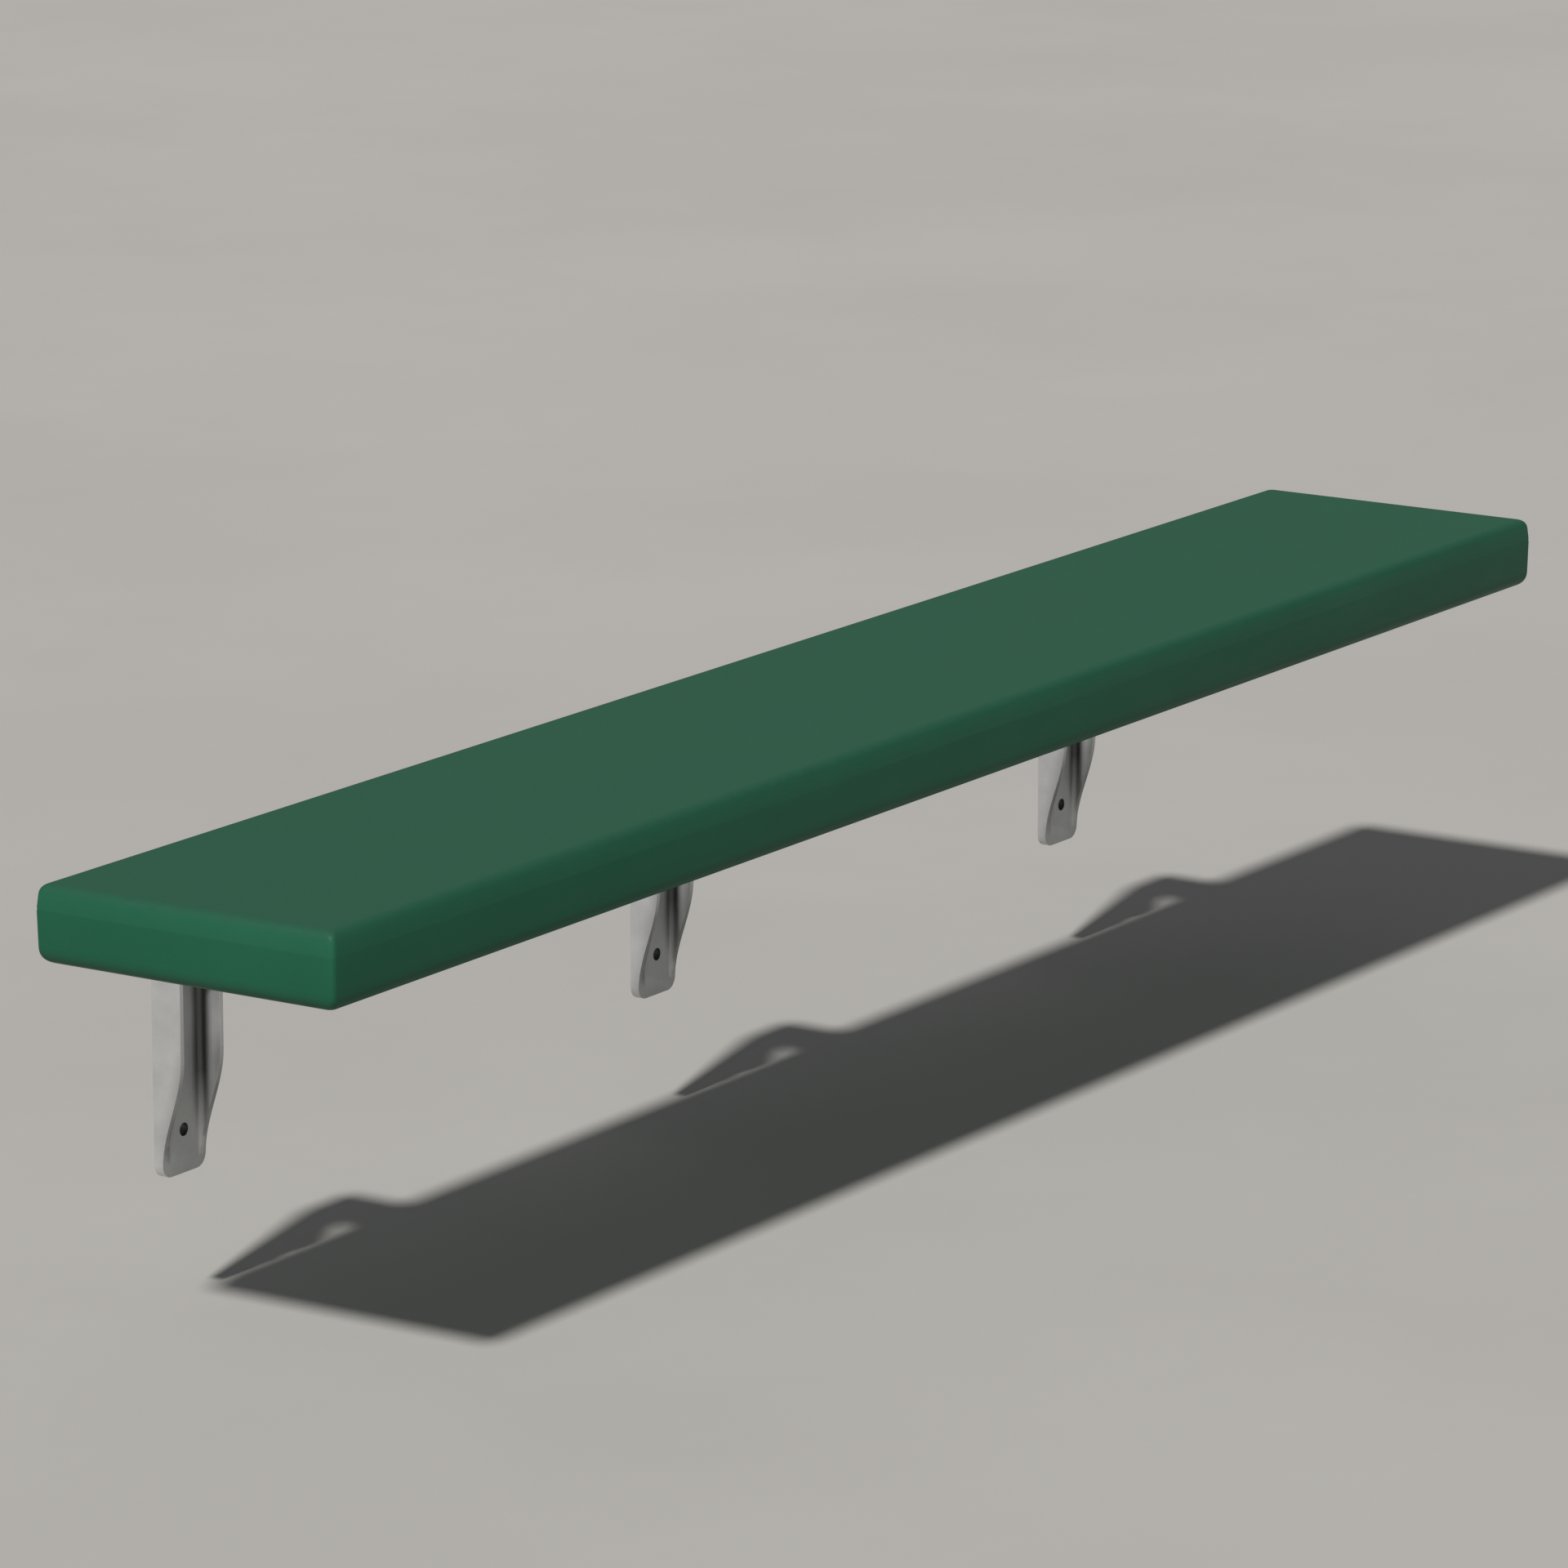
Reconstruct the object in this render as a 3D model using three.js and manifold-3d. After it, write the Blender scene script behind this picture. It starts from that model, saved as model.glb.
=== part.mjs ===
// A wall-mounted bench: one moulded plastic seat plank on three cantilever brackets.
//
// Each bracket is one aluminium casting: a web bent to a right angle, with a rib down each side. Its
// leg stands against the wall and its arm reaches forward under the seat. Two hexagon bolts in each
// arm screw up into threaded inserts that are moulded into the plank.
//
// Millimetres, +Z up. The wall is the plane Y = 0 and the bench stands out of it towards -Y.
// X runs along the seat. The origin is on the wall, behind the middle bracket and midway between
// its two wall fixing holes.

import * as THREE from 'three';
import { mergeVertices } from 'three/addons/utils/BufferGeometryUtils.js';
import Module from 'manifold-3d';

// Seat plank
const SEAT_LENGTH = 2000;
const SEAT_DEPTH = 300;
const SEAT_THICKNESS = 67;
const SEAT_WALL_GAP = 78;
const UPPER_BAND_HEIGHT = 21;
const UPPER_BAND_INSET = 2;
const LOWER_BAND_INSET = 1;
const TOP_EDGE_ROUNDING = 9;
const BOTTOM_EDGE_ROUNDING = 14;
const SKIN_THICKNESS = 8;
const SADDLE_LENGTH = 90;
const DRAIN_RADIUS = 4;

// Brackets
const BRACKET_PITCH = 717;
const BRACKET_WIDTH = 60;
const WEB_THICKNESS = 9;
const RIB_THICKNESS = 6;
const RIB_DEPTH = 30;
const RIB_RISE_START = 10;
const RIB_RISE_LENGTH = 96;
const RIB_CORNER_RADIUS = 18;
const HEEL_RADIUS = 10;
const INNER_CORNER_RADIUS = 14;
const END_CORNER_RADIUS = 12;
const WALL_HOLE_SPACING = 170;
const WALL_HOLE_TO_LEG_END = 38;
const WALL_HOLE_TO_ARM_TOP = 45;
const WALL_HOLE_RADIUS = 5.5;
const ARM_SETBACK = 40;

// Seat bolts, washers and inserts
const BOLT_EDGE_DISTANCE = 75;
const BOLT_RADIUS = 4;
const BOLT_LENGTH = 30;
const HEAD_ACROSS_FLATS = 13;
const HEAD_HEIGHT = 5.3;
const HEAD_CHAMFER = 0.9;
const BOLT_HOLE_RADIUS = 4.5;
const WASHER_OUTER_RADIUS = 12;
const WASHER_INNER_RADIUS = 4.4;
const WASHER_THICKNESS = 2;
const INSERT_RADIUS = 7;
const INSERT_WAIST_RADIUS = 6;
const INSERT_LENGTH = 22;
const INSERT_BORE_RADIUS = 4.3;
const INSERT_BORE_DEPTH = 19.5;

// Free space between faces that touch on the real bench
const FIT = 0.3;
const CURVE_STEPS = 6;
const ROUND_STEPS = 24;
// How far a cutting tool runs past the face that it cuts
const OVERCUT = 5;

const LEG_END = -WALL_HOLE_SPACING / 2 - WALL_HOLE_TO_LEG_END;
const ARM_TOP = WALL_HOLE_SPACING / 2 + WALL_HOLE_TO_ARM_TOP;
const ARM_LENGTH = SEAT_WALL_GAP + SEAT_DEPTH - ARM_SETBACK;
const SEAT_UNDERSIDE = ARM_TOP + FIT;
const SEAT_MIDDLE = -SEAT_WALL_GAP - SEAT_DEPTH / 2;
const BRACKET_PLACES = { left: -BRACKET_PITCH, middle: 0, right: BRACKET_PITCH };
const BOLT_PLACES = {
  rear: -SEAT_WALL_GAP - BOLT_EDGE_DISTANCE,
  front: -SEAT_WALL_GAP - SEAT_DEPTH + BOLT_EDGE_DISTANCE,
};

const AXIS_X = new THREE.Vector3(1, 0, 0);
const AXIS_Y = new THREE.Vector3(0, 1, 0);
const AXIS_Z = new THREE.Vector3(0, 0, 1);
// Turns an outline drawn as (Y, Z) and extruded upwards into a bar along X
const SIDE_VIEW = new THREE.Matrix4().makeBasis(AXIS_Y, AXIS_Z, AXIS_X);
// Turns an outline drawn as (X, Z) and extruded upwards into a bar along -Y
const FRONT_VIEW = new THREE.Matrix4().makeBasis(AXIS_X, AXIS_Z, AXIS_Y.clone().negate());

const wasm = await Module();
wasm.setup();

// The same closed geometry as a solid that can be joined and cut
function solidFrom(geometry) {
  const bare = geometry.clone();
  bare.deleteAttribute('normal');
  bare.deleteAttribute('uv');
  const merged = mergeVertices(bare, 1e-4);
  return new wasm.Manifold(new wasm.Mesh({
    numProp: 3,
    vertProperties: new Float32Array(merged.attributes.position.array),
    triVerts: new Uint32Array(merged.index.array),
  }));
}

function geometryFrom(solid) {
  const { vertProperties, triVerts } = solid.getMesh();
  const indexed = new THREE.BufferGeometry();
  indexed.setAttribute('position', new THREE.BufferAttribute(vertProperties, 3));
  indexed.setIndex(new THREE.BufferAttribute(triVerts, 1));
  const geometry = indexed.toNonIndexed();
  geometry.computeVertexNormals();
  return geometry;
}

// A bar of the outline's shape, centred on the origin along its own length
function extruded(outline, length, view) {
  const geometry = new THREE.ExtrudeGeometry(outline, {
    depth: length,
    bevelEnabled: false,
    curveSegments: CURVE_STEPS,
  });
  geometry.translate(0, 0, -length / 2);
  if (view) {
    geometry.applyMatrix4(view);
  }
  return solidFrom(geometry);
}

// A solid turned about the Z axis from (radius, height) pairs, which start and end on the axis
function turned(profile) {
  const points = profile.map(([radius, height]) => new THREE.Vector2(radius, height));
  const geometry = new THREE.LatheGeometry(points, ROUND_STEPS);
  geometry.rotateX(Math.PI / 2);
  return solidFrom(geometry);
}

function upright(radius, bottom, top, sides = ROUND_STEPS) {
  const geometry = new THREE.CylinderGeometry(radius, radius, top - bottom, sides);
  geometry.rotateX(Math.PI / 2);
  geometry.translate(0, 0, (bottom + top) / 2);
  return solidFrom(geometry);
}

// The plank's section: two drafted bands that meet in an edge all round, the widest line of the
// moulding, with rounded edges above and below. Across is the distance over that widest line.
function plankOutline(across) {
  const half = across / 2;
  const widest = SEAT_THICKNESS - UPPER_BAND_HEIGHT;
  const bottomCorner = half - LOWER_BAND_INSET;
  const topCorner = half - UPPER_BAND_INSET;
  const lowerSlope = LOWER_BAND_INSET / widest;
  const upperSlope = UPPER_BAND_INSET / UPPER_BAND_HEIGHT;
  const lowerStart = bottomCorner + BOTTOM_EDGE_ROUNDING * lowerSlope;
  const upperEnd = topCorner + TOP_EDGE_ROUNDING * upperSlope;
  const outline = new THREE.Shape();
  outline.moveTo(-bottomCorner + BOTTOM_EDGE_ROUNDING, 0);
  outline.lineTo(bottomCorner - BOTTOM_EDGE_ROUNDING, 0);
  outline.quadraticCurveTo(bottomCorner, 0, lowerStart, BOTTOM_EDGE_ROUNDING);
  outline.lineTo(half, widest);
  outline.lineTo(upperEnd, SEAT_THICKNESS - TOP_EDGE_ROUNDING);
  outline.quadraticCurveTo(topCorner, SEAT_THICKNESS, topCorner - TOP_EDGE_ROUNDING, SEAT_THICKNESS);
  outline.lineTo(-topCorner + TOP_EDGE_ROUNDING, SEAT_THICKNESS);
  outline.quadraticCurveTo(-topCorner, SEAT_THICKNESS, -upperEnd, SEAT_THICKNESS - TOP_EDGE_ROUNDING);
  outline.lineTo(-half, widest);
  outline.lineTo(-lowerStart, BOTTOM_EDGE_ROUNDING);
  outline.quadraticCurveTo(-bottomCorner, 0, -bottomCorner + BOTTOM_EDGE_ROUNDING, 0);
  return outline;
}

// The room inside one hollow bay of the plank, joined to the hole in the underside that drains it
function hollowBay(start, end) {
  const depth = SEAT_DEPTH - 2 * (SKIN_THICKNESS + UPPER_BAND_INSET);
  const height = SEAT_THICKNESS - 2 * SKIN_THICKNESS;
  const room = new THREE.BoxGeometry(end - start, depth, height);
  room.translate((start + end) / 2, 0, SEAT_THICKNESS / 2);
  const drain = upright(DRAIN_RADIUS, -OVERCUT, SKIN_THICKNESS + OVERCUT);
  return solidFrom(room).add(drain.translate((start + end) / 2, 0, 0));
}

// The moulded plank. It is solid over the brackets and hollow in the bays between them.
function seatPlank() {
  const lengthwise = extruded(plankOutline(SEAT_DEPTH), SEAT_LENGTH + 2 * OVERCUT, SIDE_VIEW);
  const crosswise = extruded(plankOutline(SEAT_LENGTH), SEAT_DEPTH + 2 * OVERCUT, FRONT_VIEW);
  const lastBayEnd = SEAT_LENGTH / 2 - SKIN_THICKNESS - UPPER_BAND_INSET;
  const saddles = Object.values(BRACKET_PLACES);
  const bayStarts = [-lastBayEnd, ...saddles.map((place) => place + SADDLE_LENGTH / 2)];
  const bayEnds = [...saddles.map((place) => place - SADDLE_LENGTH / 2), lastBayEnd];
  let plank = lengthwise.intersect(crosswise);
  bayStarts.forEach((start, bay) => {
    plank = plank.subtract(hollowBay(start, bayEnds[bay]));
  });
  return plank;
}

// The metal of an insert, or with some clearance the pocket that it sits in: two collars and a
// waist that locks it in the moulding
function insertOutline(clearance) {
  const collar = INSERT_RADIUS + clearance;
  const waist = INSERT_WAIST_RADIUS + clearance;
  const top = INSERT_LENGTH + clearance;
  return [
    [0, -clearance],
    [collar, -clearance],
    [collar, INSERT_LENGTH * 0.35 - clearance],
    [waist, INSERT_LENGTH * 0.42 - clearance],
    [waist, INSERT_LENGTH * 0.65 + clearance],
    [collar, INSERT_LENGTH * 0.72 + clearance],
    [collar, top],
    [0, top],
  ];
}

function threadedInsert() {
  return turned(insertOutline(0)).subtract(upright(INSERT_BORE_RADIUS, -OVERCUT, INSERT_BORE_DEPTH));
}

function washer() {
  const disc = upright(WASHER_OUTER_RADIUS, 0, WASHER_THICKNESS);
  return disc.subtract(upright(WASHER_INNER_RADIUS, -OVERCUT, WASHER_THICKNESS + OVERCUT));
}

// A hexagon bolt with its head below the origin and its shank above
function seatBolt() {
  const corner = HEAD_ACROSS_FLATS / Math.sqrt(3);
  const flat = HEAD_ACROSS_FLATS / 2;
  const hexagon = upright(corner, -HEAD_HEIGHT, 0, 6);
  const chamfered = turned([
    [0, -HEAD_HEIGHT],
    [flat, -HEAD_HEIGHT],
    [corner + FIT, -HEAD_HEIGHT + HEAD_CHAMFER],
    [corner + FIT, 0],
    [0, 0],
  ]);
  const shank = turned([
    [0, -1],
    [BOLT_RADIUS, -1],
    [BOLT_RADIUS, BOLT_LENGTH - 1],
    [BOLT_RADIUS - 1, BOLT_LENGTH],
    [0, BOLT_LENGTH],
  ]);
  return hexagon.intersect(chamfered).add(shank);
}

// The bracket seen from its side, as (Y, Z): the leg down the wall and the arm out under the seat.
// The ribs rise out of the web in an S curve near both ends.
function bracketSide() {
  const inner = RIB_DEPTH + RIB_CORNER_RADIUS;
  const armRise = -ARM_LENGTH + RIB_RISE_START;
  const legRise = LEG_END + RIB_RISE_START;
  const third = RIB_RISE_LENGTH / 3;
  const full = RIB_RISE_LENGTH;
  const armWeb = ARM_TOP - WEB_THICKNESS;
  const armRib = ARM_TOP - RIB_DEPTH;
  const outline = new THREE.Shape();
  outline.moveTo(0, LEG_END);
  outline.lineTo(0, ARM_TOP - HEEL_RADIUS);
  outline.absarc(-HEEL_RADIUS, ARM_TOP - HEEL_RADIUS, HEEL_RADIUS, 0, Math.PI / 2, false);
  outline.lineTo(-ARM_LENGTH, ARM_TOP);
  outline.lineTo(-ARM_LENGTH, armWeb);
  outline.lineTo(armRise, armWeb);
  outline.bezierCurveTo(armRise + third, armWeb, armRise + 2 * third, armRib, armRise + full, armRib);
  outline.lineTo(-inner, armRib);
  outline.absarc(-inner, ARM_TOP - inner, RIB_CORNER_RADIUS, Math.PI / 2, 0, true);
  outline.lineTo(-RIB_DEPTH, legRise + full);
  outline.bezierCurveTo(
    -RIB_DEPTH, legRise + 2 * third,
    -WEB_THICKNESS, legRise + third,
    -WEB_THICKNESS, legRise,
  );
  outline.lineTo(-WEB_THICKNESS, LEG_END);
  return outline;
}

// The open room between the ribs, as (Y, Z): all that lies in front of the leg and below the arm
function bracketInside() {
  const radius = INNER_CORNER_RADIUS;
  const inner = WEB_THICKNESS + radius;
  const outline = new THREE.Shape();
  outline.moveTo(-WEB_THICKNESS, LEG_END - OVERCUT);
  outline.lineTo(-WEB_THICKNESS, ARM_TOP - inner);
  outline.absarc(-inner, ARM_TOP - inner, radius, 0, Math.PI / 2, false);
  outline.lineTo(-ARM_LENGTH - OVERCUT, ARM_TOP - WEB_THICKNESS);
  outline.lineTo(-ARM_LENGTH - OVERCUT, LEG_END - OVERCUT);
  return outline;
}

// A strip as wide as the bracket, with rounded corners at the low end and a square high end
function roundedStrip(low, high) {
  const half = BRACKET_WIDTH / 2;
  const inner = half - END_CORNER_RADIUS;
  const outline = new THREE.Shape();
  outline.moveTo(-half, high);
  outline.lineTo(-half, low + END_CORNER_RADIUS);
  outline.absarc(-inner, low + END_CORNER_RADIUS, END_CORNER_RADIUS, Math.PI, 1.5 * Math.PI, false);
  outline.lineTo(inner, low);
  outline.absarc(inner, low + END_CORNER_RADIUS, END_CORNER_RADIUS, 1.5 * Math.PI, 2 * Math.PI, false);
  outline.lineTo(half, high);
  return outline;
}

function wallHole(height) {
  const hole = upright(WALL_HOLE_RADIUS, -WEB_THICKNESS - OVERCUT, OVERCUT);
  return hole.rotate([-90, 0, 0]).translate(0, 0, height);
}

// The casting. The arm's holes take the seat bolts and the leg's holes take the wall fixings.
function bracket() {
  const long = 2 * (ARM_LENGTH + ARM_TOP - LEG_END);
  const casting = extruded(bracketSide(), BRACKET_WIDTH, SIDE_VIEW)
    .subtract(extruded(bracketInside(), BRACKET_WIDTH - 2 * RIB_THICKNESS, SIDE_VIEW))
    .intersect(extruded(roundedStrip(LEG_END, ARM_TOP + OVERCUT), long, FRONT_VIEW))
    .intersect(extruded(roundedStrip(-ARM_LENGTH, OVERCUT), long));
  let drilled = casting
    .subtract(wallHole(WALL_HOLE_SPACING / 2))
    .subtract(wallHole(-WALL_HOLE_SPACING / 2));
  for (const place of Object.values(BOLT_PLACES)) {
    const hole = upright(BOLT_HOLE_RADIUS, ARM_TOP - WEB_THICKNESS - OVERCUT, ARM_TOP + OVERCUT);
    drilled = drilled.subtract(hole.translate(0, place, 0));
  }
  return drilled;
}

function finish(color, roughness, metalness) {
  return new THREE.MeshStandardMaterial({ color, roughness, metalness });
}

const MATERIALS = {
  plank: () => finish(0x2f6148, 0.62, 0),
  bracket: () => finish(0xb4b6b8, 0.48, 0.9),
  bolt: () => finish(0xa9abae, 0.32, 1),
  washer: () => finish(0xb2b4b6, 0.36, 1),
  insert: () => finish(0xb08d4a, 0.35, 1),
};

const bench = new THREE.Group();

function addPiece(name, solid, material, position = [0, 0, 0]) {
  const piece = new THREE.Mesh(geometryFrom(solid), material());
  piece.name = name;
  piece.position.set(...position);
  bench.add(piece);
}

const BRACKET_SOLID = bracket();
const WASHER_SOLID = washer();
const BOLT_SOLID = seatBolt();
const INSERT_SOLID = threadedInsert();
const POCKET_SOLID = turned(insertOutline(FIT));
const WASHER_BOTTOM = ARM_TOP - WEB_THICKNESS - FIT - WASHER_THICKNESS;

let plank = seatPlank().translate(0, SEAT_MIDDLE, SEAT_UNDERSIDE);
for (const [side, x] of Object.entries(BRACKET_PLACES)) {
  addPiece(`bracket_${side}`, BRACKET_SOLID, MATERIALS.bracket, [x, 0, 0]);
  for (const [end, y] of Object.entries(BOLT_PLACES)) {
    plank = plank.subtract(POCKET_SOLID.translate(x, y, SEAT_UNDERSIDE));
    addPiece(`insert_${side}_${end}`, INSERT_SOLID, MATERIALS.insert, [x, y, SEAT_UNDERSIDE]);
    addPiece(`washer_${side}_${end}`, WASHER_SOLID, MATERIALS.washer, [x, y, WASHER_BOTTOM]);
    addPiece(`bolt_${side}_${end}`, BOLT_SOLID, MATERIALS.bolt, [x, y, WASHER_BOTTOM - FIT]);
  }
}
addPiece('seat_plank', plank, MATERIALS.plank);

export default bench;
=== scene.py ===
"""The looks of a wall-mounted bench: a moulded plank on three cast aluminium brackets.

Metres, +Z up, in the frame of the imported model: X runs along the seat, the wall is the plane Y = 0
and the bench stands out of it towards -Y. Nothing on the bench moves, so every piece rides on "root".
"""

import logging
import math
from collections.abc import Iterable, Iterator, Sequence
from contextlib import contextmanager
from dataclasses import dataclass, field
from enum import Enum

import bmesh
import bpy
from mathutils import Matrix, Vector


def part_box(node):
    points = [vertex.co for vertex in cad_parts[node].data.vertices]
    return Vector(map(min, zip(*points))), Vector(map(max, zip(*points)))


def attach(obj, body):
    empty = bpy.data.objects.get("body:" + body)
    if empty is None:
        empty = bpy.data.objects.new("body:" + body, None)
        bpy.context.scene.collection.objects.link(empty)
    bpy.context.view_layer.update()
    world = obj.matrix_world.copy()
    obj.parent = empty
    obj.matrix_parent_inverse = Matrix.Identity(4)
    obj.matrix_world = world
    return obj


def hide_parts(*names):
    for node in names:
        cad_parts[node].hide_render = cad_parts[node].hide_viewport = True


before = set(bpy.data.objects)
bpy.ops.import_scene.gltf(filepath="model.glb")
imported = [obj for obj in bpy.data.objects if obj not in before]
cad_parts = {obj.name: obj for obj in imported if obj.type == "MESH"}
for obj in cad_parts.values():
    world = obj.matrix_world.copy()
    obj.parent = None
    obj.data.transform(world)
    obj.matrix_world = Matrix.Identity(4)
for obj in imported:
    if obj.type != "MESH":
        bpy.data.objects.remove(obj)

LOG = logging.getLogger("wall_bench")
BODY = "root"
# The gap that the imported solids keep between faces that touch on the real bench
FIT = 0.0003
# How far a cutting tool runs past the face that it cuts
OVERCUT = 0.005
SHARP_ANGLE = math.radians(32)
# The least turn between two faces of a small rounded edge
RIM_ANGLE = math.radians(22)
# Faces that turn less than this are one flat face
FLAT_ANGLE = math.radians(0.5)
# Edges that turn more than this are fettled round
FETTLED_ANGLE = math.radians(50)
# How much more a large face counts than a small one where their normals are averaged
FLAT_WEIGHT = 80
# Corners closer than this are one corner: in a cut casting, and in a grown mesh
CUT_MERGE = 0.00004
GROWN_MERGE = 1e-6
# Marks small rounded edges: on the plank they are painted darker as shade, on the brackets rubbed lighter
EDGE_ATTRIBUTE = "edge_wear_and_shade"
ACROSS_ATTRIBUTE = "across"

Colour = tuple[float, float, float]
Point = tuple[float, float]
Solid = bmesh.types.BMesh
Mesh = bpy.types.Mesh
Object = bpy.types.Object
Material = bpy.types.Material
Socket = bpy.types.NodeSocket
Value = Socket | float | int | bool | Sequence[float] | Material
Inputs = dict[str | int, Value | list[Value]]


class View(Enum):
    """The side that an outline is drawn from, and so the axis that a bar of that outline runs along."""

    SIDE = "drawn as (Y, Z), runs along X"
    FRONT = "drawn as (X, Z), runs along Y"
    PLAN = "drawn as (X, Y), runs along Z"

    def place(self, across: float, up: float, along: float) -> Vector:
        """Turn a point of the outline and a distance along the bar into a point in space.

        Args:
            across: The outline's first coordinate.
            up: The outline's second coordinate.
            along: The distance along the bar's axis.

        Returns:
            The point in the row frame.
        """
        if self is View.SIDE:
            return Vector((along, across, up))
        if self is View.FRONT:
            return Vector((across, along, up))
        return Vector((across, up, along))


class Cut(Enum):
    """What a cutting tool does to the solid that it meets."""

    AWAY = "DIFFERENCE"
    KEEP = "INTERSECT"


# ---- meshes


def new_object(name: str, mesh: Mesh) -> Object:
    """Link a mesh into the scene as an object at the origin.

    Args:
        name: The object's name.
        mesh: Its mesh, already in place.

    Returns:
        The new object.
    """
    made = bpy.data.objects.new(name, mesh)
    bpy.context.scene.collection.objects.link(made)
    return made


def mesh_from(shape: Solid, name: str) -> Mesh:
    """Turn a bmesh into a mesh with its faces pointing out, and free it.

    Args:
        shape: The closed shape.
        name: The mesh's name.

    Returns:
        The mesh.
    """
    bmesh.ops.recalc_face_normals(shape, faces=shape.faces)
    mesh = bpy.data.meshes.new(name)
    shape.to_mesh(mesh)
    shape.free()
    return mesh


def settled(holder: Object, name: str) -> Mesh:
    """Read an object's mesh with its modifiers worked in, and delete the object.

    Args:
        holder: The object with live modifiers.
        name: The name of the plain mesh.

    Returns:
        The plain mesh.
    """
    depsgraph = bpy.context.evaluated_depsgraph_get()
    mesh = bpy.data.meshes.new_from_object(holder.evaluated_get(depsgraph), depsgraph=depsgraph)
    mesh.name = name
    bpy.data.objects.remove(holder)
    return mesh


@contextmanager
def reworked(mesh: Mesh) -> Iterator[Solid]:
    """Open a mesh for editing, and write it back when the block ends.

    Args:
        mesh: The mesh.

    Yields:
        Its editable shape.
    """
    shape = bmesh.new()
    shape.from_mesh(mesh)
    yield shape
    shape.to_mesh(mesh)
    shape.free()


def soften(mesh: Mesh) -> None:
    """Shade a mesh smooth, apart from its real corners."""
    mesh.shade_smooth()
    mesh.set_sharp_from_angle(angle=SHARP_ANGLE)


def mark_edges(mesh: Mesh) -> None:
    """Give the vertices on a mesh's small outer roundings an edge wear of one, and all others none.

    Args:
        mesh: The mesh.
    """
    with reworked(mesh) as shape:
        wear_and_shade = shape.verts.layers.float.new(EDGE_ATTRIBUTE)
        for vertex in shape.verts:
            turns = [edge.calc_face_angle_signed(0.0) for edge in vertex.link_edges]
            vertex[wear_and_shade] = float(max(turns) > RIM_ANGLE)


def bend(start: Point, corner: Point, end: Point, steps: int) -> list[Point]:
    """Round a corner with a curve that meets both of its sides without a kink.

    Args:
        start: Where the curve leaves the first side.
        corner: Where the two sides would meet.
        end: Where the curve joins the second side.
        steps: The number of straight steps in the curve.

    Returns:
        The curve's points, both ends included.
    """
    points = []
    for step in range(steps + 1):
        t = step / steps
        weights = ((1 - t) ** 2, 2 * t * (1 - t), t * t)
        points.append(tuple(sum(w * p[i] for w, p in zip(weights, (start, corner, end))) for i in (0, 1)))
    return points


def arc(centre: Point, radius: float, first: float, last: float, steps: int) -> list[Point]:
    """List the points of a circular arc.

    Args:
        centre: The arc's centre.
        radius: Its radius.
        first: The angle of its first point, in degrees.
        last: The angle of its last point, in degrees.
        steps: The number of straight steps.

    Returns:
        The arc's points, both ends included.
    """
    angles = [math.radians(first + (last - first) * step / steps) for step in range(steps + 1)]
    return [(centre[0] + radius * math.cos(a), centre[1] + radius * math.sin(a)) for a in angles]


def close_rings(shape: Solid, rings: Sequence[Sequence[bmesh.types.BMVert]]) -> None:
    """Skin a row of rings of corners, and cap both ends.

    Args:
        shape: The shape that holds the corners.
        rings: The corners of each ring, in the same order.
    """
    for lower, upper in zip(rings, rings[1:]):
        for i in range(len(lower)):
            j = (i + 1) % len(lower)
            shape.faces.new((lower[i], lower[j], upper[j], upper[i]))
    shape.faces.new(rings[0])
    shape.faces.new(rings[-1])


def bar(outline: Sequence[Point], view: View, low: float, high: float) -> Solid:
    """Make a closed bar from an outline.

    Args:
        outline: The section's corners in order.
        view: The side that it is drawn from.
        low: Where the bar starts on its axis.
        high: Where it ends.

    Returns:
        The bar.
    """
    shape = bmesh.new()
    rings = [[shape.verts.new(view.place(a, b, end)) for a, b in outline] for end in (low, high)]
    close_rings(shape, rings)
    return shape


def round_bar(centre: Vector, radius: float, view: View, low: float, high: float, sides: int = 40) -> Solid:
    """Make a closed round bar along an axis.

    Args:
        centre: A point on its axis.
        radius: Its radius.
        view: The side that its circle is drawn from.
        low: Where it starts on its axis.
        high: Where it ends.
        sides: The number of flat sides that make it round.

    Returns:
        The bar.
    """
    seen = {
        View.SIDE: (centre.y, centre.z),
        View.FRONT: (centre.x, centre.z),
        View.PLAN: (centre.x, centre.y),
    }
    return bar(arc(seen[view], radius, 0, 360, sides)[:-1], view, low, high)


def machined(name: str, blank: Solid, cuts: Iterable[tuple[Cut, Solid]]) -> Object:
    """Work cutting tools into a blank, one after another.

    Args:
        name: The finished object's name.
        blank: The solid to cut.
        cuts: What each tool does, and its solid.

    Returns:
        The cut object.
    """
    holder = new_object(name, mesh_from(blank, name))
    tools = []
    for cut, shape in cuts:
        tool = new_object(f"{name}_tool", mesh_from(shape, f"{name}_tool"))
        modifier = holder.modifiers.new(cut.name, "BOOLEAN")
        modifier.operation = cut.value
        modifier.solver = "EXACT"
        modifier.object = tool
        tools.append(tool)
    mesh = settled(holder, name)
    for tool in tools:
        bpy.data.objects.remove(tool)
    return new_object(name, mesh)


# ---- node graphs


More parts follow.
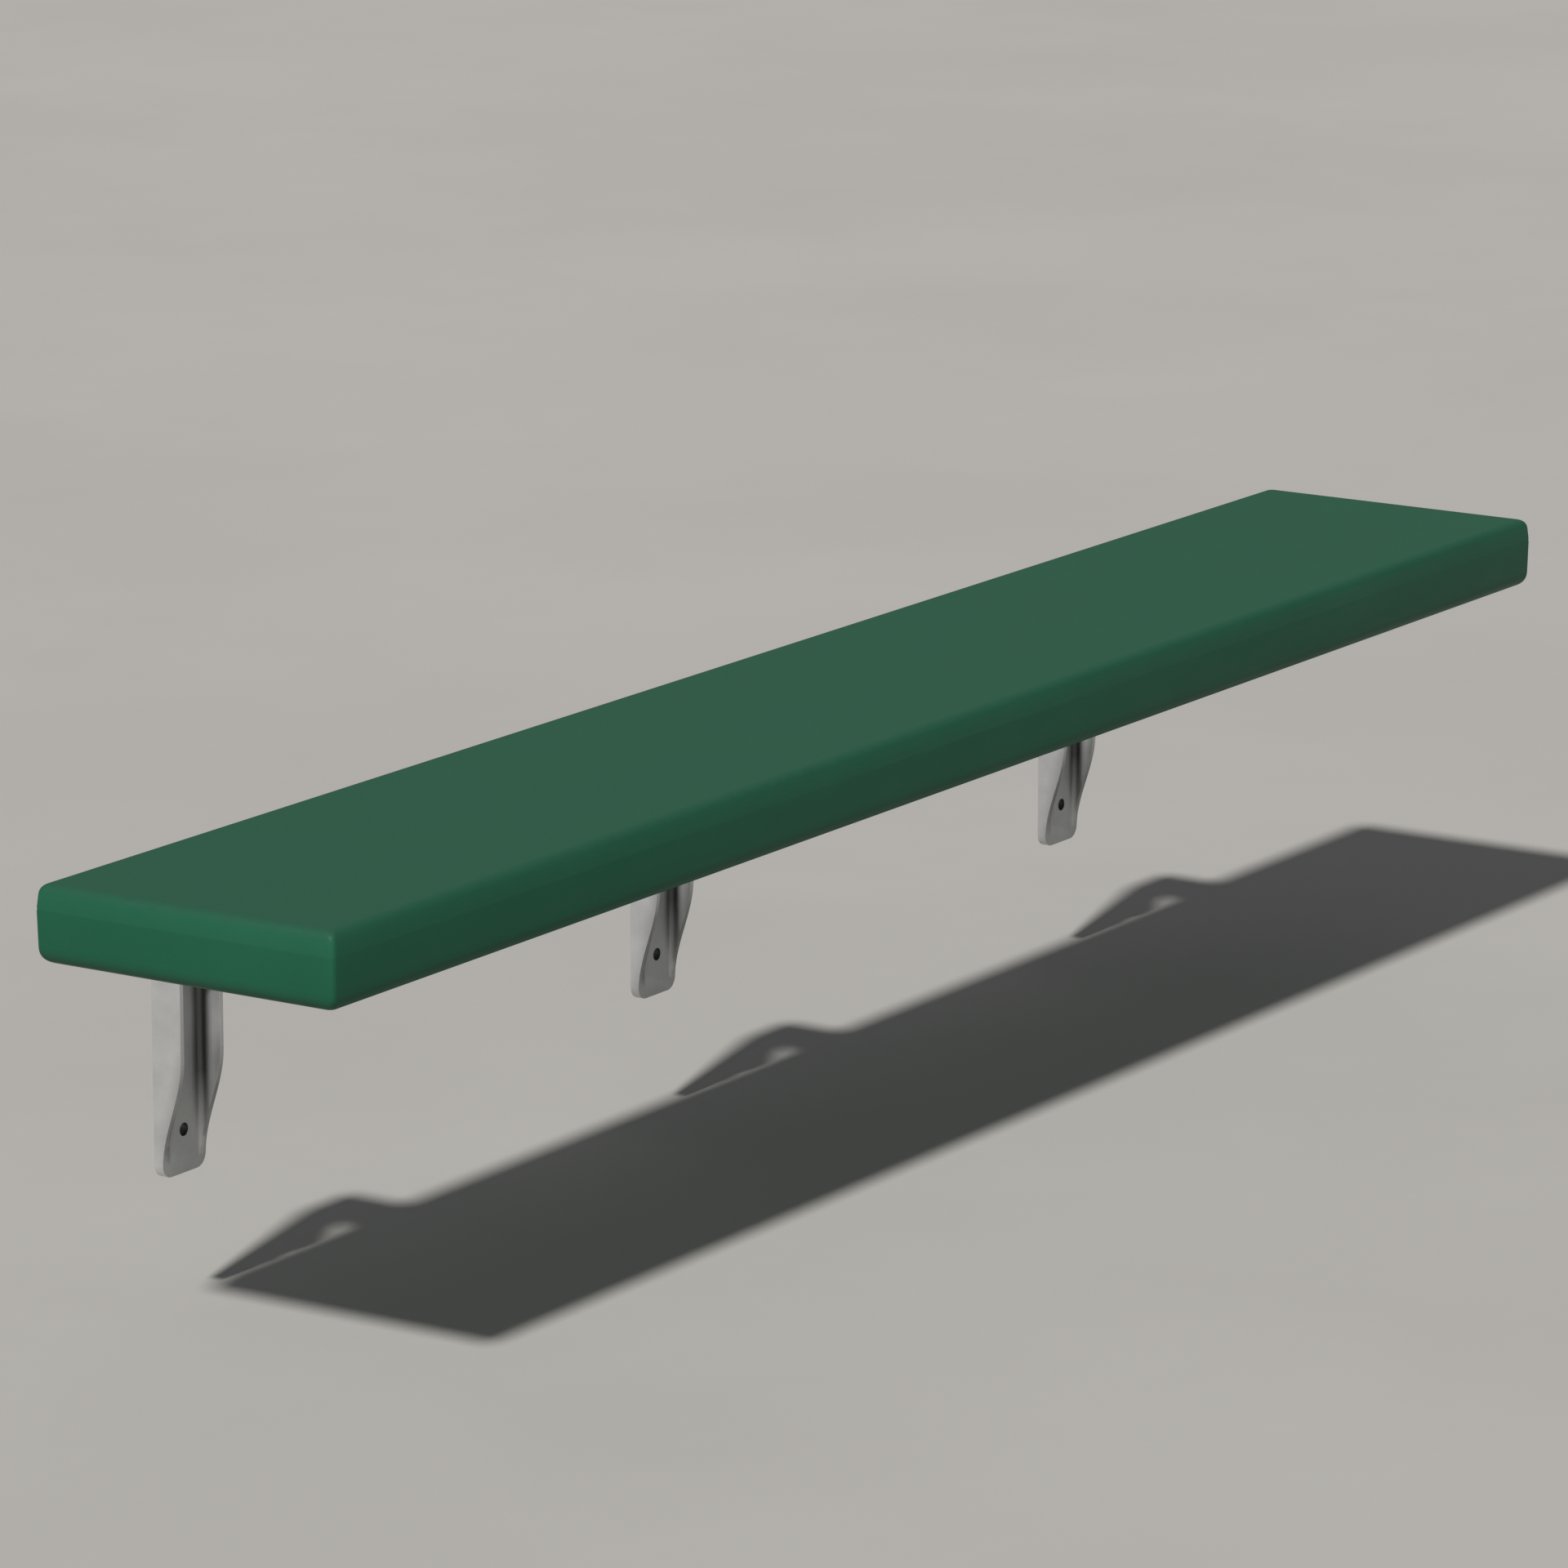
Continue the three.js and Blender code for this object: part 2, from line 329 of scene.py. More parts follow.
class Graph:
    """A node tree in the making: nodes are added with their inputs, and settings by name."""

    def __init__(self, tree: bpy.types.NodeTree) -> None:
        """Start on an empty tree."""
        self.tree = tree

    def add(self, kind: str, inputs: Inputs | None = None, **settings: object) -> bpy.types.Node:
        """Add one node.

        Args:
            kind: Blender's name for the node type.
            inputs: A value or another node's output for each input, by name or number. A list
                links several outputs to one input.
            **settings: The node's own properties.

        Returns:
            The node.
        """
        node = self.tree.nodes.new(kind)
        for name, setting in settings.items():
            setattr(node, name, setting)
        for key, value in (inputs or {}).items():
            links = value if isinstance(value, list) else [value]
            for each in links:
                if isinstance(each, Socket):
                    self.tree.links.new(each, node.inputs[key])
                else:
                    node.inputs[key].default_value = each
        return node

    def math(self, operation: str, first: Value, second: Value = 0.0) -> Socket:
        """Add a Math node and return its result."""
        return self.add("ShaderNodeMath", {0: first, 1: second}, operation=operation).outputs[0]

    def times(self, first: Value, second: Value) -> Socket:
        """Multiply two numbers."""
        return self.math("MULTIPLY", first, second)

    def over(self, first: Value, second: Value) -> Socket:
        """Divide one number by another."""
        return self.math("DIVIDE", first, second)

    def plus(self, first: Value, second: Value) -> Socket:
        """Add two numbers."""
        return self.math("ADD", first, second)

    def minus(self, first: Value, second: Value) -> Socket:
        """Take one number from another."""
        return self.math("SUBTRACT", first, second)

    def up(self, height: Value) -> Socket:
        """Turn a height into an upright vector."""
        return self.add("ShaderNodeCombineXYZ", {"Z": height}).outputs[0]


class ShaderGraph(Graph):
    """The nodes of one material."""

    def __init__(self, name: str) -> None:
        """Make a material whose tree holds only its output.

        Args:
            name: The material's name.
        """
        self.material = bpy.data.materials.new(name)
        self.material.use_nodes = True
        super().__init__(self.material.node_tree)
        self.tree.nodes.clear()
        self.output = self.tree.nodes.new("ShaderNodeOutputMaterial")

    def place(self) -> Socket:
        """The point on the piece, in metres."""
        return self.add("ShaderNodeTexCoord").outputs["Object"]

    def stretched(self, scale: Sequence[float]) -> Socket:
        """The point on the piece, with each axis scaled."""
        return self.add("ShaderNodeMapping", {"Vector": self.place(), "Scale": scale}).outputs[0]

    def split(self, vector: Socket) -> bpy.types.bpy_prop_collection:
        """Split a vector into outputs named X, Y and Z."""
        return self.add("ShaderNodeSeparateXYZ", {0: vector}).outputs

    def carried(self, name: str) -> Socket:
        """The number that the mesh carries under a name."""
        return self.add("ShaderNodeAttribute", attribute_name=name).outputs["Fac"]

    def noise(self, vector: Socket, size: float, detail: float = 3.0, rough: float = 0.5) -> Socket:
        """Add a cloudy pattern around 0.5: a cloud's width, and how many finer layers of what strength."""
        inputs = {"Vector": vector, "Scale": 1 / size, "Detail": detail, "Roughness": rough}
        return self.add("ShaderNodeTexNoise", inputs).outputs["Fac"]

    def between(self, value: Value, low: float, high: float, start: float = 0.0, end: float = 1.0) -> Socket:
        """Map a number from one range to another, held at both ends."""
        inputs = {"Value": value, "From Min": low, "From Max": high, "To Min": start, "To Max": end}
        return self.add("ShaderNodeMapRange", inputs).outputs["Result"]

    def blend(self, factor: Value, first: Value | Colour, second: Value | Colour) -> Socket:
        """Mix two colours.

        Args:
            factor: How much of the second shows.
            first: The first colour.
            second: The second colour.

        Returns:
            The mixed colour.
        """
        first, second = ((*c, 1.0) if isinstance(c, tuple) else c for c in (first, second))
        inputs = {0: factor, 6: first, 7: second}
        return self.add("ShaderNodeMix", inputs, data_type="RGBA").outputs[2]

    def bump(self, height: Value, depth: float, strength: float, under: Value | None = None) -> Socket:
        """Tilt the surface by a height pattern.

        Args:
            height: The pattern, from 0 to 1.
            depth: The height of a full step, in metres.
            strength: How much of it shows.
            under: A normal that this one adds to.

        Returns:
            The new normal.
        """
        inputs = {"Height": height, "Distance": depth, "Strength": strength}
        if under is not None:
            inputs["Normal"] = under
        return self.add("ShaderNodeBump", inputs).outputs["Normal"]

    def surface(self, **inputs: Value) -> Material:
        """Finish the material with one Principled shader.

        Args:
            **inputs: The shader's inputs, with _ for each space in their names.

        Returns:
            The material.
        """
        named = {key.replace("_", " "): value for key, value in inputs.items()}
        shader = self.add("ShaderNodeBsdfPrincipled", named)
        self.tree.links.new(shader.outputs["BSDF"], self.output.inputs["Surface"])
        return self.material


class GeometryGraph(Graph):
    """A Geometry Nodes tree that puts a made shape on every point of the mesh that it is given."""

    def __init__(self, name: str) -> None:
        """Make an empty tree that takes and gives geometry.

        Args:
            name: The tree's name.
        """
        super().__init__(bpy.data.node_groups.new(name, "GeometryNodeTree"))
        for direction in ("INPUT", "OUTPUT"):
            self.tree.interface.new_socket("Geometry", in_out=direction, socket_type="NodeSocketGeometry")
        self.given = self.tree.nodes.new("NodeGroupInput")
        self.output = self.tree.nodes.new("NodeGroupOutput")
        self.sizes: dict[str, float | int] = {}

    def size(self, name: str, value: float | int) -> Socket:
        """Give the tree a named input.

        Args:
            name: The input's name.
            value: What it is set to on the modifier. A whole number makes a whole-number input.

        Returns:
            The socket that carries it.
        """
        kind = "NodeSocketInt" if isinstance(value, int) else "NodeSocketFloat"
        self.tree.interface.new_socket(name, in_out="INPUT", socket_type=kind)
        self.sizes[name] = value
        return self.given.outputs[name]

    def rod(self, radius: Value, low: Value, high: Value, sides: int) -> Socket:
        """Add an upright round bar between two heights.

        Args:
            radius: Its radius.
            low: Its lower end.
            high: Its upper end.
            sides: The number of flat sides that make it round.

        Returns:
            The bar.
        """
        depth = self.minus(high, low)
        inputs = {"Vertices": sides, "Radius": radius, "Depth": depth}
        bar_mesh = self.add("GeometryNodeMeshCylinder", inputs).outputs["Mesh"]
        half_way = self.times(self.plus(low, high), 0.5)
        return self.moved(bar_mesh, self.up(half_way))

    def moved(self, geometry: Socket, offset: Value) -> Socket:
        """Shift geometry by a vector."""
        return self.add("GeometryNodeTransform", {"Geometry": geometry, "Translation": offset}).outputs[0]

    def boolean(self, operation: str, *meshes: Socket) -> Socket:
        """Join or cut meshes.

        Args:
            operation: Blender's name for what is done.
            *meshes: The meshes. For a difference, the first is what the others cut.

        Returns:
            The result.
        """
        inputs: Inputs = {1: list(meshes)}
        if operation == "DIFFERENCE":
            inputs = {0: meshes[0], 1: list(meshes[1:])}
        node = self.add("GeometryNodeMeshBoolean", inputs, operation=operation, solver="EXACT")
        return node.outputs["Mesh"]

    def swept(self, path: Socket, profile: Socket) -> Socket:
        """Sweep a closed profile along a path, with its ends filled."""
        inputs = {"Curve": path, "Profile Curve": profile, "Fill Caps": True}
        return self.add("GeometryNodeCurveToMesh", inputs).outputs["Mesh"]

    def grow(self, name: str, places: Sequence[Vector], shape: Socket, material: Material) -> Object:
        """Put the shape on every place, end the tree, run it and keep its plain mesh.

        Args:
            name: The object's name.
            places: Where each copy's origin goes.
            shape: The geometry of one copy.
            material: Its material.

        Returns:
            The object, with one plain mesh.
        """
        inputs = {"Points": self.given.outputs[0], "Instance": shape}
        copies = self.add("GeometryNodeInstanceOnPoints", inputs).outputs[0]
        real = self.add("GeometryNodeRealizeInstances", {"Geometry": copies}).outputs[0]
        dressed = self.add("GeometryNodeSetMaterial", {"Geometry": real, "Material": material}).outputs[0]
        self.tree.links.new(dressed, self.output.inputs[0])
        points = bpy.data.meshes.new(name)
        points.from_pydata([tuple(p) for p in places], [], [])
        holder = new_object(f"{name}_points", points)
        modifier = holder.modifiers.new("grow", "NODES")
        modifier.node_group = self.tree
        for item in self.tree.interface.items_tree:
            if item.in_out == "INPUT" and item.name in self.sizes:
                modifier[item.identifier] = self.sizes[item.name]
        mesh = settled(holder, name)
        with reworked(mesh) as grown:
            bmesh.ops.remove_doubles(grown, verts=grown.verts, dist=GROWN_MERGE)
            bmesh.ops.recalc_face_normals(grown, faces=grown.faces)
        soften(mesh)
        return new_object(name, mesh)


# ---- finishes


@dataclass(frozen=True)
class MouldedPlastic:
    """Matt green moulded plastic, rougher where people sit; sheen painted on its top, shade on its lower
    band and edges.

    Attributes:
        deep: The colour of its darker clouds.
        fresh: The colour of its lighter clouds.
        rubbed_and_sheen: The paler, greyer colour painted on the top as sheen, in patches.
        scuffed: The colour of its flecks.
        edge_painted_shade: The darker colour painted on its rounded edges as shade.
        painted_band_shade: The colour painted on its lower band as shade.
        seam: Where its lower band ends and its upper band starts, in height.
        grain: The width of one grain of the texture, in metres.
    """

    deep: Colour = (0.0120, 0.103, 0.054)
    fresh: Colour = (0.0152, 0.115, 0.062)
    rubbed_and_sheen: Colour = (0.0255, 0.098, 0.058)
    scuffed: Colour = (0.040, 0.150, 0.095)
    edge_painted_shade: Colour = (0.0190, 0.081, 0.049)
    painted_band_shade: Colour = (0.003, 0.050, 0.024)
    seam: Point = (0.1752, 0.1774)
    grain: float = 0.0011

    def make(self) -> Material:
        """Build the material.

        Returns:
            The material.
        """
        graph = ShaderGraph("moulded_plastic")
        place = graph.place()
        clouds = graph.between(graph.noise(place, size=0.16, detail=5.0, rough=0.6), 0.3, 0.7)
        colour = graph.blend(clouds, self.deep, self.fresh)
        height = graph.split(place)["Z"]
        # Painted shade: the lower band is painted darker than the upper band
        colour = graph.blend(graph.between(height, *self.seam, 0.26, 0.0), colour, self.painted_band_shade)
        # Painted sheen: the top is painted paler and greyer, in patches that are also rougher
        upward = graph.split(graph.add("ShaderNodeNewGeometry").outputs["Normal"])["Z"]
        patches = graph.noise(graph.stretched((0.5, 1.0, 1.0)), size=0.11, detail=6.0, rough=0.62)
        faces_up = graph.between(upward, 0.8, 1.0)
        top_sheen = graph.times(faces_up, graph.between(patches, 0.25, 0.75, 0.72, 1.0))
        colour = graph.blend(top_sheen, colour, self.rubbed_and_sheen)
        fleck = graph.between(graph.noise(place, size=0.0016, detail=2.0), 0.42, 0.72)
        colour = graph.blend(graph.times(fleck, 0.07), colour, self.scuffed)
        # Painted shade: the rounded edges are painted darker, in patches
        edge = graph.carried(EDGE_ATTRIBUTE)
        edge_patches = graph.between(graph.noise(place, size=0.012, detail=7.0, rough=0.72), 0.5, 0.72)
        edge_shade = graph.times(edge, graph.between(edge_patches, 0.0, 1.0, 0.6, 1.0))
        colour = graph.blend(edge_shade, colour, self.edge_painted_shade)
        grain = graph.noise(place, size=self.grain, detail=2.0)
        swell = graph.noise(graph.stretched((0.35, 1.0, 1.0)), size=0.09, detail=2.0)
        roughness = graph.between(graph.plus(patches, graph.times(top_sheen, 0.3)), 0.3, 1.0, 0.46, 0.62)
        normal = graph.bump(grain, 0.00022, 0.55, graph.bump(swell, 0.0006, 0.25))
        return graph.surface(Base_Color=colour, Roughness=roughness, Normal=normal, Specular_IOR_Level=0.16)


@dataclass(frozen=True)
class CastAluminium:
    """Cast aluminium, linished light grey, with painted shade on the web between the ribs and in the drilled
    holes.

    Attributes:
        dull: The metal where it is dullest.
        bright: The metal where it is brightest.
        rubbed_and_sheen: The fettled edges, rubbed lighter.
        painted_shade_and_skin: The dark colour of the shade painted between the ribs and in the holes.
        pitted: The bottoms of its fine pits.
        room: Half the width between the ribs.
        web: How far the web's inner face lies from the wall, and its height under the arm.
        clear: How high above the web the painted shade ends.
        roots: How far from the middle the darker painted shade at the roots starts, and where it is full.
        strength: How strong the painted shade is in the middle of the web, and at the roots.
        fade: How far from an end the painted shade starts, and where it is full.
        blur: The width of the painted shade's soft edge, and of the holes'.
        ends: The height of the foot and the place of the arm's tip, near which no shade is painted.
        hole: The radius of the shade painted in the drilled holes, and their height above or below the
            origin.
        grain: The width of one grain of the cast skin, in metres.
    """

    dull: Colour = (0.60, 0.605, 0.61)
    bright: Colour = (0.74, 0.745, 0.75)
    rubbed_and_sheen: Colour = (0.84, 0.84, 0.84)
    painted_shade_and_skin: Colour = (0.10, 0.103, 0.105)
    pitted: Colour = (0.30, 0.30, 0.30)
    room: float = 0.0250
    web: Point = (0.009, 0.121)
    clear: float = 0.0135
    roots: Point = (0.012, 0.020)
    strength: Point = (0.34, 0.92)
    fade: Point = (0.02, 0.085)
    blur: Point = (0.0008, 0.0003)
    ends: Point = (-0.123, -0.338)
    hole: Point = (0.0058, 0.085)
    grain: float = 0.0012

    def painted_shade_mask(self, graph: ShaderGraph) -> Socket:
        """Work out how much shade is painted on each point.

        Args:
            graph: The material's graph.

        Returns:
            1 in the drilled holes, less between the ribs, and 0 outside.
        """
        point = graph.split(graph.place())
        across = graph.carried(ACROSS_ATTRIBUTE)
        off_leg = graph.minus(-self.web[0], point["Y"])
        off_arm = graph.minus(self.web[1], point["Z"])
        height = graph.math("MINIMUM", off_leg, off_arm)
        off_middle = graph.math("ABSOLUTE", across)
        # Painted shade on the web between the ribs, darker at the roots of the ribs and fading out near both
        # ends
        inside = graph.between(off_middle, self.room, self.room + self.blur[0], 1.0, 0.0)
        above = graph.between(height, -self.blur[0] / 2, 0.0)
        below = graph.between(height, self.clear * 0.4, self.clear, 1.0, 0.0)
        off_foot = graph.minus(point["Z"], self.ends[0])
        off_tip = graph.minus(point["Y"], self.ends[1])
        off_end = graph.between(graph.math("MINIMUM", off_foot, off_tip), *self.fade)
        root = graph.between(off_middle, *self.roots, *self.strength)
        painted_shade_and_skin = graph.times(graph.times(inside, above), graph.times(below, root))
        painted_shade_and_skin = graph.times(painted_shade_and_skin, off_end)
        # Painted shade in the drilled holes, as dark as the shade behind them
        up = graph.minus(graph.math("ABSOLUTE", point["Z"]), self.hole[1])
        off_hole = graph.math("SQRT", graph.plus(graph.times(across, across), graph.times(up, up)))
        drilled = graph.between(off_hole, self.hole[0], self.hole[0] + self.blur[1], 1.0, 0.0)
        return graph.math("MAXIMUM", painted_shade_and_skin, drilled)

    def make(self) -> Material:
        """Build the material.

        Returns:
            The material.
        """
        graph = ShaderGraph("cast_aluminium")
        place = graph.place()
        clouds = graph.between(graph.noise(place, size=0.05, detail=6.0, rough=0.6), 0.3, 0.7)
        colour = graph.blend(clouds, self.dull, self.bright)
        edge = graph.carried(EDGE_ATTRIBUTE)
        colour = graph.blend(graph.times(edge, 0.5), colour, self.rubbed_and_sheen)
        grain = graph.noise(place, size=self.grain, detail=3.0, rough=0.6)
        pits = graph.between(graph.noise(place, size=0.0026, detail=4.0, rough=0.6), 0.26, 0.36)
        colour = graph.blend(graph.times(graph.minus(1.0, pits), 0.35), colour, self.pitted)
        # Paint the shade: dark on the web between the ribs, at the roots of the ribs and in the drilled
        # holes
        colour = graph.blend(self.painted_shade_mask(graph), colour, self.painted_shade_and_skin)
        ripple = graph.noise(place, size=0.03, detail=2.0)
        roughness = graph.between(graph.plus(clouds, grain), 0.3, 1.5, 0.40, 0.56)
        # Bumps of the cast surface: fine pits and ripples
        painted_shade_and_skin = graph.bump(pits, 0.0002, 0.5, graph.bump(ripple, 0.0008, 0.3))
        normal = graph.bump(grain, 0.00012, 0.45, painted_shade_and_skin)
        return graph.surface(Base_Color=colour, Metallic=0.8, Roughness=roughness, Normal=normal)


@dataclass(frozen=True)
class StainlessSteel:
    """Plain stainless fasteners, with fine drawn lines and handling marks.

    Attributes:
        clean: The bright colour.
        stained: The colour of handling marks.
    """

    clean: Colour = (0.60, 0.595, 0.58)
    stained: Colour = (0.43, 0.425, 0.41)

    def make(self) -> Material:
        """Build the material.

        Returns:
            The material.
        """
        graph = ShaderGraph("stainless_steel")
        place = graph.place()
        marks = graph.between(graph.noise(place, size=0.004, detail=5.0, rough=0.65), 0.4, 0.7)
        lines = graph.noise(graph.stretched((1.0, 1.0, 0.08)), size=0.0004, detail=2.0)
        colour = graph.blend(marks, self.clean, self.stained)
        roughness = graph.between(graph.plus(marks, lines), 0.3, 1.5, 0.24, 0.42)
        normal = graph.bump(lines, 0.00003, 0.4)
        return graph.surface(Base_Color=colour, Metallic=1.0, Roughness=roughness, Normal=normal)


@dataclass(frozen=True)
class TurnedBrass:
    """Brass turned on a lathe, with fine rings and a little tarnish.

    Attributes:
        bright: The freshly cut colour.
        tarnished: The colour of its tarnish.
    """

    bright: Colour = (0.64, 0.46, 0.20)
    tarnished: Colour = (0.36, 0.24, 0.10)

    def make(self) -> Material:
        """Build the material.

        Returns:
            The material.
        """
        graph = ShaderGraph("turned_brass")
        rings = graph.noise(graph.stretched((0.05, 0.05, 1.0)), size=0.0003, detail=2.0)
        tarnish = graph.between(graph.noise(graph.place(), size=0.003, detail=5.0, rough=0.6), 0.45, 0.75)
        colour = graph.blend(tarnish, self.bright, self.tarnished)
        roughness = graph.between(graph.plus(rings, tarnish), 0.2, 1.4, 0.26, 0.48)
        normal = graph.bump(rings, 0.00003, 0.4)
        return graph.surface(Base_Color=colour, Metallic=1.0, Roughness=roughness, Normal=normal)


@dataclass(frozen=True)
class PaleFloor:
    """A plain pale floor. Seen from below it is clear, so that the bench's underside can be looked at.

    Attributes:
        pale: Its lighter tone.
        grey: Its darker tone.
    """

    pale: Colour = (0.475, 0.461, 0.438)
    grey: Colour = (0.445, 0.431, 0.410)

    def make(self) -> Material:
        """Build the material.

        Returns:
            The material.
        """
        graph = ShaderGraph("pale_floor")
        clouds = graph.between(graph.noise(graph.place(), size=0.9, detail=5.0, rough=0.6), 0.3, 0.7)
        colour = graph.blend(clouds, self.grey, self.pale)
        graph.surface(Base_Color=colour, Roughness=0.85, Specular_IOR_Level=0.3)
        opaque = graph.output.inputs["Surface"].links[0].from_socket
        clear = graph.add("ShaderNodeBsdfTransparent").outputs[0]
        below = graph.add("ShaderNodeNewGeometry").outputs["Backfacing"]
        chosen = graph.add("ShaderNodeMixShader", {0: below, 1: opaque, 2: clear})
        graph.tree.links.new(chosen.outputs[0], graph.output.inputs["Surface"])
        return graph.material


# ---- the bench


def middle(node: str) -> Vector:
    """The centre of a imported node's box."""
    low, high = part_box(node)
    return (low + high) / 2


def nodes_of(kind: str) -> list[str]:
    """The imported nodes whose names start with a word, in order."""
    return sorted(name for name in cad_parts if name.startswith(f"{kind}_"))


def fit_out(piece: Object, stands_for: Sequence[str]) -> Object:
    """Let a finished piece ride on the bench and what it stands for, and report it.

    Args:
        piece: The finished piece.
        stands_for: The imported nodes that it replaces.

    Returns:
        The piece.
    """
    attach(piece, BODY)
    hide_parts(*stands_for)
    LOG.info("%s: %d faces, stands for %s", piece.name, len(piece.data.polygons), ", ".join(stands_for))
    return piece


@dataclass
class SeatPlank:
    """The seat: one hollow moulding with two drafted bands round its edge.

    Attributes:
        low: The lowest corner of its box.
        high: The highest corner of its box.
        upper_band: The height of the upper band.
        upper_inset: How far the upper band leans in at the top.
        lower_inset: How far the lower band leans in at the bottom.
        top_rounding: How far the top edge's rounding reaches.
        bottom_rounding: How far the bottom edge's rounding reaches.
        corner_radius: The radius of the four upright corners.
        joint: The width and depth of the shallow mould line between the bands.
        margin: How far a flat face stays flat next to a rounding.
        steps: The steps in each rounding.
        corner_steps: The steps in each upright corner.
        drain: The radius and depth of the drain holes in the underside.
        saddle: The length of plank that is solid over each bracket.
    """

    low: Vector
    high: Vector
    upper_band: float = 0.021
    upper_inset: float = 0.002
    lower_inset: float = 0.001
    top_rounding: float = 0.009
    bottom_rounding: float = 0.014
    corner_radius: float = 0.005
    joint: tuple[float, float] = (0.0036, 0.0003)
    margin: float = 0.002
    steps: int = 8
    corner_steps: int = 6
    drain: tuple[float, float] = (0.004, 0.012)
    saddle: float = 0.090

    def edge_profile(self) -> list[tuple[float, float, float]]:
        """List the levels of the edge from the underside to the top.

        Returns:
            For each level, its distance in from the widest line, its height and its share of the edges'
            painted shade.
        """
        top = self.high.z - self.low.z
        widest = top - self.upper_band
        lower_slope = self.lower_inset / widest
        upper_slope = self.upper_inset / self.upper_band
        underside = (self.lower_inset + self.bottom_rounding, 0.0)
        lower_end = (self.lower_inset - self.bottom_rounding * lower_slope, self.bottom_rounding)
        upper_end = (self.upper_inset - self.top_rounding * upper_slope, top - self.top_rounding)
        topside = (self.upper_inset + self.top_rounding, top)
        lower_curve = bend(underside, (self.lower_inset, 0.0), lower_end, self.steps)
        upper_curve = bend(upper_end, (self.upper_inset, top), topside, self.steps)
        half_joint, depth = self.joint[0] / 2, self.joint[1]
        levels = [(underside[0] + self.margin, 0.0, 0.0)]
        # How much shade is painted on each step of a rounding
        wear_and_shade = [math.sin(math.pi * step / self.steps) for step in range(self.steps + 1)]
        levels += [(inset, height, 0.6 * edge_shade) for (inset, height), edge_shade in zip(lower_curve, wear_and_shade)]
        levels += [(lower_end[0] - self.margin * lower_slope, lower_end[1] + self.margin, 0.0)]
        levels += [(half_joint * lower_slope, widest - half_joint, 0.0)]
        levels += [(depth, widest, 0.0)]
        levels += [(half_joint * upper_slope, widest + half_joint, 0.0)]
        levels += [(upper_end[0] - self.margin * upper_slope, upper_end[1] - self.margin, 0.0)]
        levels += [(inset, height, edge_shade) for (inset, height), edge_shade in zip(upper_curve, wear_and_shade)]
        levels += [(topside[0] + self.margin, top, 0.0)]
        return levels

    def ring(self, inset: float) -> list[Point]:
        """Draw the plank's outline from above, with rounded corners.

        Args:
            inset: How far it lies inside the widest line.

        Returns:
            The outline's points as (X, Y).
        """
        radius = self.corner_radius
        left, right = self.low.x + inset + radius, self.high.x - inset - radius
        front, back = self.low.y + inset + radius, self.high.y - inset - radius
        corners = (((right, back), 0), ((left, back), 90), ((left, front), 180), ((right, front), 270))
        arcs = [arc(centre, radius, angle, angle + 90, self.corner_steps) for centre, angle in corners]
        return [point for points in arcs for point in points]

    def body(self) -> Solid:
        """Loft the outlines of all levels into one closed body that carries the mask of its edges' painted
        shade.

        Returns:
            The body.
        """
        shape = bmesh.new()
        wear_and_shade = shape.verts.layers.float.new(EDGE_ATTRIBUTE)
        rings = []
        for inset, height, edge in self.edge_profile():
            ring = [shape.verts.new((x, y, self.low.z + height)) for x, y in self.ring(inset)]
            for vertex in ring:
                vertex[wear_and_shade] = edge
            rings.append(ring)
        close_rings(shape, rings)
        return shape

    def drain_places(self) -> list[Vector]:
        """Find where the underside is drained.

        Returns:
            The middles of the hollow bays between the solid saddles.
        """
        saddles = sorted(middle(name).x for name in nodes_of("bracket"))
        ends = [self.low.x, *saddles, self.high.x]
        half = self.saddle / 2
        places = []
        for start, end in zip(ends, ends[1:]):
            bay_start = start + (half if start in saddles else 0.0)
            bay_end = end - (half if end in saddles else 0.0)
            places.append(Vector(((bay_start + bay_end) / 2, (self.low.y + self.high.y) / 2, self.low.z)))
        return places

    def cuts(self) -> Iterable[tuple[Cut, Solid]]:
        """Drill the drain holes and the pockets that the inserts sit in.

        Yields:
            For each hole, that it is cut away, and its solid.
        """
        radius, depth = self.drain
        floor = self.low.z - OVERCUT
        for place in self.drain_places():
            yield Cut.AWAY, round_bar(place, radius, View.PLAN, floor, self.low.z + depth)
        for name in nodes_of("insert"):
            low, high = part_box(name)
            pocket = (high.x - low.x) / 2 + FIT
            yield Cut.AWAY, round_bar(middle(name), pocket, View.PLAN, floor, high.z + FIT)

    def build(self, material: Material) -> Object:
        """Mould, drill and dress the plank.

        Args:
            material: Its finish.

        Returns:
            The finished plank.
        """
        plank = machined("moulded_seat", self.body(), self.cuts())
        soften(plank.data)
        plank.data.materials.clear()
        plank.data.materials.append(material)
        return fit_out(plank, ["seat_plank"])


